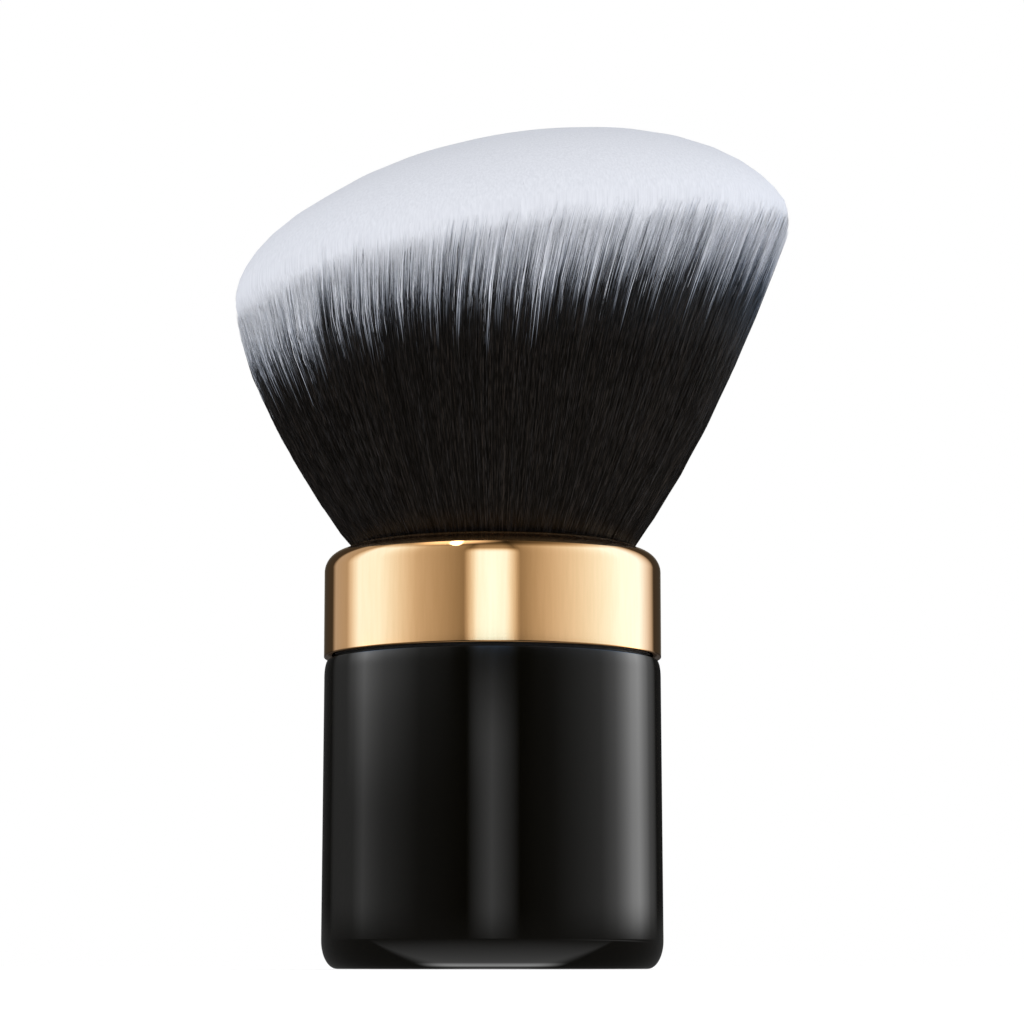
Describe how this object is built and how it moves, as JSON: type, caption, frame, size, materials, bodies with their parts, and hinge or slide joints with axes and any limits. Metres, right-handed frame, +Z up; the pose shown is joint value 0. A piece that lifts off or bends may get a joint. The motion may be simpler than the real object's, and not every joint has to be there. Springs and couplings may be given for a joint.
{
  "type": "bronzer brush",
  "caption": "Short free-standing makeup brush with a weighted round gloss handle, a polished metal collar and a dense, flared, slant-cut two-tone tuft",
  "frame": {"origin": "on the handle's axis, in the plane of its flat foot", "axes": "+Z up through the tuft, +X towards the tuft's high side, -Y towards the viewer of the picture"},
  "size_m": [0.0567, 0.0452, 0.0847],
  "materials": {
    "black_gloss": "gloss",
    "gold_metal": "polished",
    "bristle": "satin",
    "black_plastic": "matte",
    "adhesive": "satin",
    "steel": "satin",
    "foam": "matte",
    "resin": "gloss",
    "thread": "matte"
  },
  "bodies": {
    "root": {"handle_shell": "black_gloss", "collar_ring": "gold_metal", "bristle_tuft": "bristle", "tuft_socket": "black_plastic", "collar_bond": "adhesive", "stem_bond": "adhesive", "weight_bond": "adhesive", "weight_slug": "steel", "foam_pad": "foam", "root_epoxy": "resin", "root_binding": "thread"}
  },
  "joints": []
}
